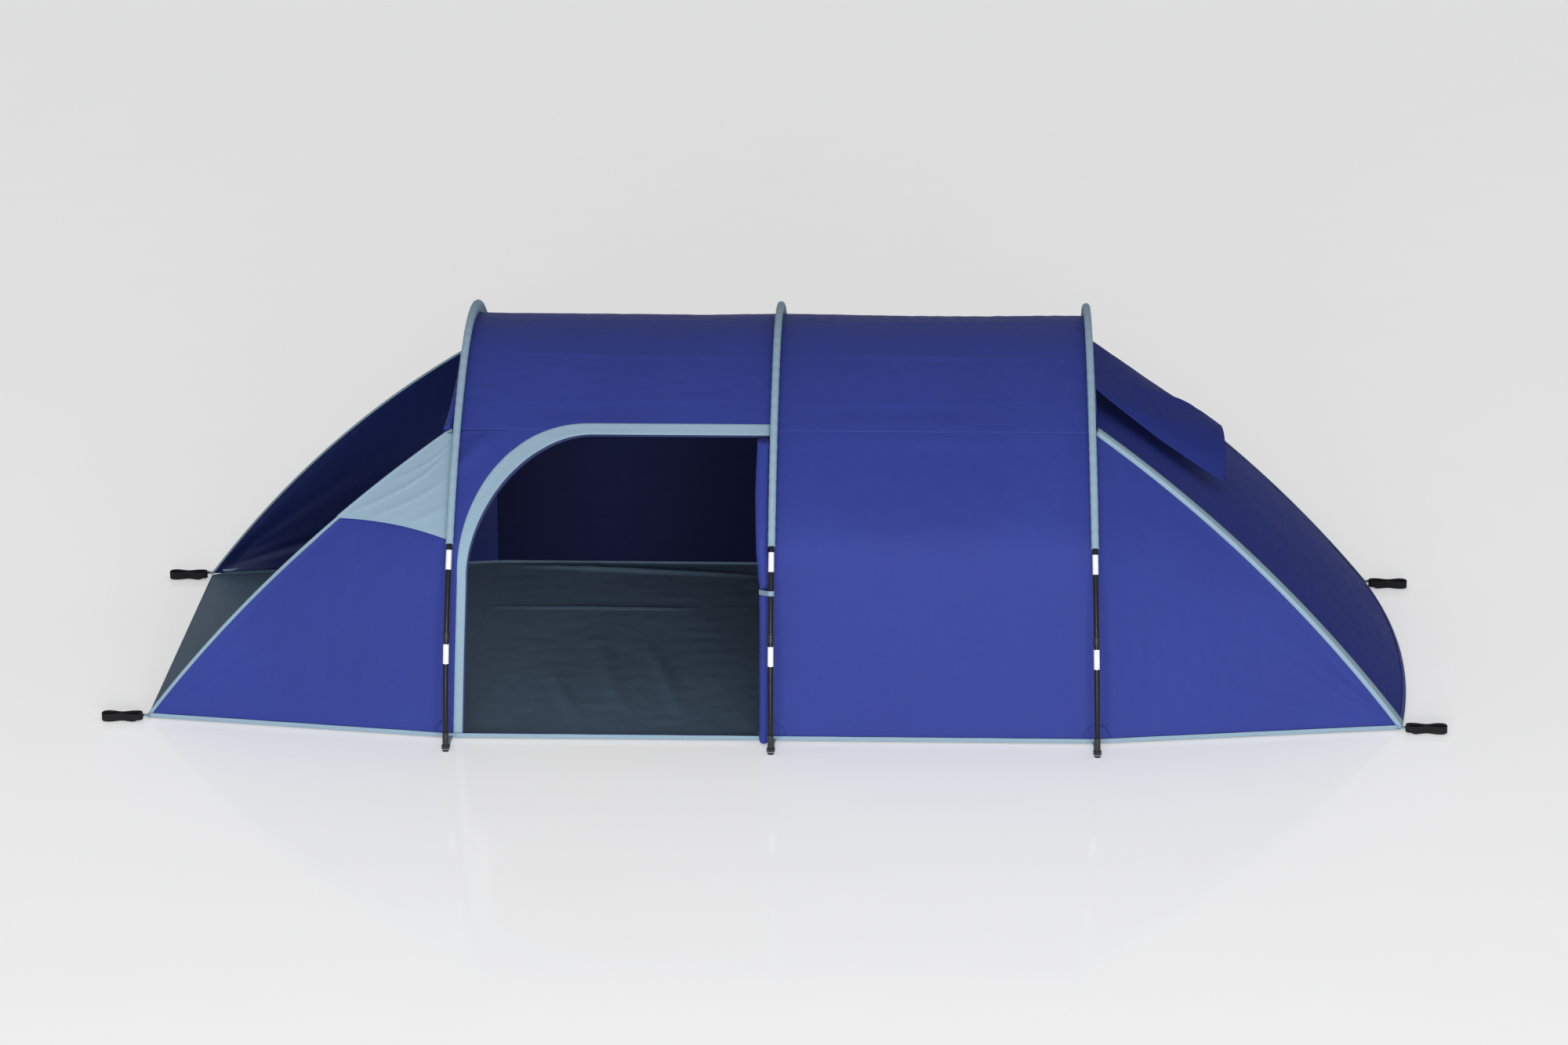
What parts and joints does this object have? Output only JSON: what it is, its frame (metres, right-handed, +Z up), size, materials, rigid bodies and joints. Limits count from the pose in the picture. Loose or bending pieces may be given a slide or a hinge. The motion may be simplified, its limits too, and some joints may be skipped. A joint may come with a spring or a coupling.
{
  "type": "tunnel tent",
  "caption": "Low tunnel tent on pole hoops: open side door rolled up beside the middle hoop, open porch in front, hooded vent on the sloping rear panel.",
  "frame": {"origin": "on the ground under the middle of the whole part's outline", "axes": "+X from the open porch towards the rear end, +Y towards the closed side wall, +Z up"},
  "size_m": [4.224, 1.802, 1.154],
  "materials": {
    "blue_cloth": "satin",
    "light_blue_cloth": "satin",
    "floor_sheet": "satin",
    "dark_mesh": "matte",
    "black_cord": "matte",
    "pole_tube": "gloss",
    "black_plastic": "matte",
    "ferrule_metal": "satin",
    "zip_metal": "satin"
  },
  "bodies": {
    "tent": {"front_pole": "pole_tube", "middle_pole": "pole_tube", "rear_pole": "pole_tube", "front_ferrules": "ferrule_metal", "middle_ferrules": "ferrule_metal", "rear_ferrules": "ferrule_metal", "front_collars": "black_plastic", "middle_collars": "black_plastic", "rear_collars": "black_plastic", "front_foot_caps": "black_plastic", "middle_foot_caps": "black_plastic", "rear_foot_caps": "black_plastic", "shock_cords": "black_cord", "front_sleeve": "light_blue_cloth", "middle_sleeve": "light_blue_cloth", "rear_sleeve": "light_blue_cloth", "front_bay_roof": "blue_cloth", "rear_bay_roof": "blue_cloth", "door_wall": "blue_cloth", "front_bay_far_wall": "blue_cloth", "rear_bay_near_wall": "blue_cloth", "rear_bay_far_wall": "blue_cloth", "door_trim": "light_blue_cloth", "rolled_side_door": "blue_cloth", "door_tie": "light_blue_cloth", "near_wing": "blue_cloth", "far_wing": "blue_cloth", "near_wing_piping": "light_blue_cloth", "far_wing_piping": "light_blue_cloth", "near_wing_flap": "light_blue_cloth", "far_wing_flap": "light_blue_cloth", "rolled_front_door": "blue_cloth", "front_door_ties": "light_blue_cloth", "near_rear_side": "blue_cloth", "far_rear_side": "blue_cloth", "rear_end_panel": "blue_cloth", "rear_gable": "blue_cloth", "near_seam_band": "light_blue_cloth", "far_seam_band": "light_blue_cloth", "vent_mesh": "dark_mesh", "main_floor": "floor_sheet", "porch_floor": "floor_sheet", "near_hem": "light_blue_cloth", "far_hem": "light_blue_cloth", "rear_hem": "light_blue_cloth", "foot_patches": "blue_cloth", "foot_tabs": "light_blue_cloth", "corner_loops": "light_blue_cloth", "front_near_hank": "black_cord", "front_far_hank": "black_cord", "rear_near_hank": "black_cord", "rear_far_hank": "black_cord"},
    "vent_hood": {"vent_hood": "blue_cloth", "vent_stiffener": "pole_tube"},
    "header_zip_slider": {"header_zip_slider": "zip_metal"},
    "sill_zip_slider": {"sill_zip_slider": "zip_metal"}
  },
  "joints": [
    {"name": "vent_hood_hinge", "type": "hinge", "parent": "tent", "child": "vent_hood", "pos_m": [0.977, 0, 0.985], "axis": [0, -1, 0], "range_deg": [-3, 40]},
    {"name": "header_zip_slide", "type": "slide", "parent": "tent", "child": "header_zip_slider", "axis": [-1, 0, 0], "range_m": [0, 0.5]},
    {"name": "sill_zip_slide", "type": "slide", "parent": "tent", "child": "sill_zip_slider", "axis": [-1, 0, 0], "range_m": [0, 0.88]}
  ]
}
